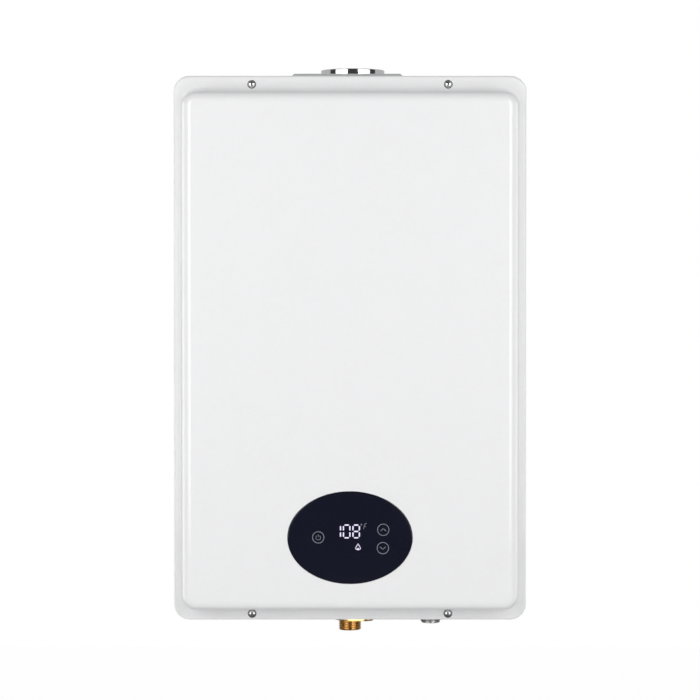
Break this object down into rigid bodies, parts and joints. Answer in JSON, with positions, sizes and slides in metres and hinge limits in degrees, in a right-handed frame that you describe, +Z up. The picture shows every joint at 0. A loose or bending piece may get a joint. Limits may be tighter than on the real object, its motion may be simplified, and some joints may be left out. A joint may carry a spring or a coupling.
{
  "type": "wall-hung gas water heater",
  "caption": "Wall-hung gas water heater: white steel case, raised front with oval touch panel, exhaust fan and flue collar above, gas and water connections below.",
  "frame": {"origin": "middle of the rear casing's back, on the wall", "axes": "+Z up, -Y out of the wall towards the user, +X to the user's right facing the front"},
  "size_m": [0.35, 0.1554, 0.5689],
  "materials": {
    "white_enamel": "satin",
    "seal_rubber": "matte",
    "plated_screw": "polished",
    "dark_glass": "gloss",
    "black_plastic": "matte",
    "board_green": "satin",
    "display_white": "gloss",
    "galvanised": "satin",
    "bright_chrome": "polished",
    "cast_alloy": "satin",
    "motor_black": "satin",
    "copper": "satin",
    "stainless": "satin",
    "brass": "satin",
    "white_ceramic": "gloss",
    "clear_plastic": "gloss",
    "blue_knob": "satin",
    "rubber_hose": "matte"
  },
  "bodies": {
    "heater": {"rear_casing": "white_enamel", "front_cover": "white_enamel", "cover_gasket": "seal_rubber", "cover_screws": "plated_screw", "panel_lens": "dark_glass", "panel_tray": "black_plastic", "tray_screws": "plated_screw", "display_board": "board_green", "digit_display": "display_white", "flue_plate": "cast_alloy", "flue_gasket": "seal_rubber", "flue_collar": "bright_chrome", "flue_screws": "plated_screw", "flue_adapter": "galvanised", "fan_housing": "galvanised", "fan_cover": "galvanised", "fan_motor": "motor_black", "exhaust_hood": "galvanised", "exchanger_core": "copper", "exchanger_tubes": "copper", "exchanger_headers": "copper", "combustion_chamber": "copper", "burner_frame": "galvanised", "burner_bars": "stainless", "injector_rail": "cast_alloy", "injector_nozzles": "brass", "ignition_electrodes": "white_ceramic", "flame_probe": "white_ceramic", "gas_inlet_nipple": "brass", "gas_inlet_screws": "plated_screw", "gas_valve_body": "cast_alloy", "valve_coils": "black_plastic", "shutoff_spring": "stainless", "control_spring": "stainless", "gas_riser": "cast_alloy", "cold_inlet_nipple": "bright_chrome", "hot_outlet_nipple": "bright_chrome", "water_lock_nuts": "bright_chrome", "inlet_filter": "stainless", "flow_sensor_body": "clear_plastic", "rotor_axle": "stainless", "hall_sensor": "black_plastic", "cold_pipe": "copper", "hot_pipe": "copper", "union_nuts": "brass", "temperature_sensor": "brass", "overheat_cutouts": "black_plastic", "drain_valve": "brass", "control_box": "black_plastic", "control_board": "board_green", "igniter_unit": "black_plastic", "pressure_switch": "black_plastic", "pressure_hose": "rubber_hose", "cable_gland": "black_plastic"},
    "fan_rotor": {"fan_impeller": "cast_alloy", "fan_shaft": "stainless"},
    "flow_wheel": {"flow_rotor": "display_white"},
    "shutoff_slide": {"shutoff_plunger": "stainless"},
    "control_slide": {"control_plunger": "stainless"},
    "drain_handle": {"drain_knob": "blue_knob"}
  },
  "joints": [
    {"name": "fan_spin", "type": "hinge", "parent": "heater", "child": "fan_rotor", "pos_m": [-0.03, -0.068, 0.188], "axis": [0, 1, 0], "continuous": true},
    {"name": "flow_spin", "type": "hinge", "parent": "heater", "child": "flow_wheel", "pos_m": [0.0823, -0.048, -0.2236], "axis": [0, 0, 1], "continuous": true},
    {"name": "shutoff_lift", "type": "slide", "parent": "heater", "child": "shutoff_slide", "axis": [0, 0, 1], "range_m": [0, 0.003], "stiffness_N_per_m": 300, "springref_m": -0.004, "deforming": ["shutoff_spring"]},
    {"name": "control_lift", "type": "slide", "parent": "heater", "child": "control_slide", "axis": [0, 0, 1], "range_m": [0, 0.0025], "stiffness_N_per_m": 300, "springref_m": -0.004, "deforming": ["control_spring"]},
    {"name": "drain_turn", "type": "hinge", "parent": "heater", "child": "drain_handle", "pos_m": [0.115, -0.048, -0.275], "axis": [0, 0, 1], "range_deg": [0, 90]}
  ]
}
